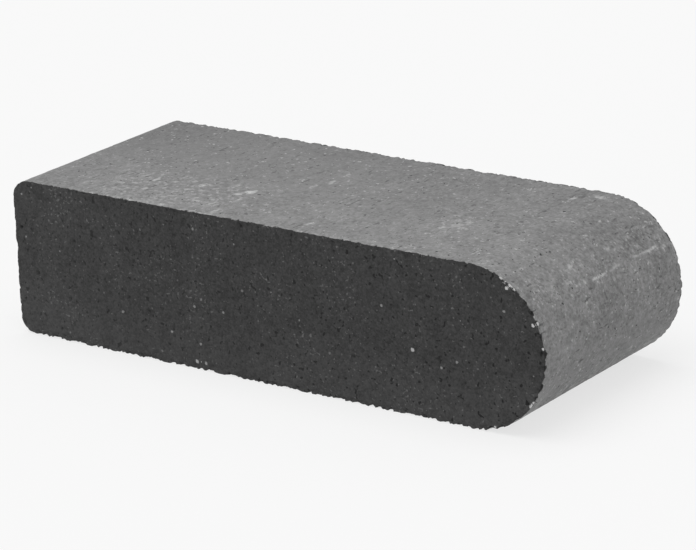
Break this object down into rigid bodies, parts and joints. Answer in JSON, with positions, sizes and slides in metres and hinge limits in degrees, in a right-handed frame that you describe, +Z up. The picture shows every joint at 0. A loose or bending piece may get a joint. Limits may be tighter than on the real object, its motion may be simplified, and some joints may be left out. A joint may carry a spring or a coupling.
{
  "type": "bullnose coping stone",
  "caption": "Solid concrete coping unit with a full half-round bullnose at one end, flat tread and bed, and eased back arrises.",
  "frame": {"origin": "middle of the unit's footprint, on the bed that it lies on", "axes": "+X along the unit's length towards the bullnose, +Y along the coping course from one square end face to the other, +Z up out of the tread"},
  "size_m": [0.232, 0.092, 0.06],
  "materials": {
    "charcoal_concrete": "matte"
  },
  "bodies": {
    "root": {"coping_stone": "charcoal_concrete"}
  },
  "joints": []
}
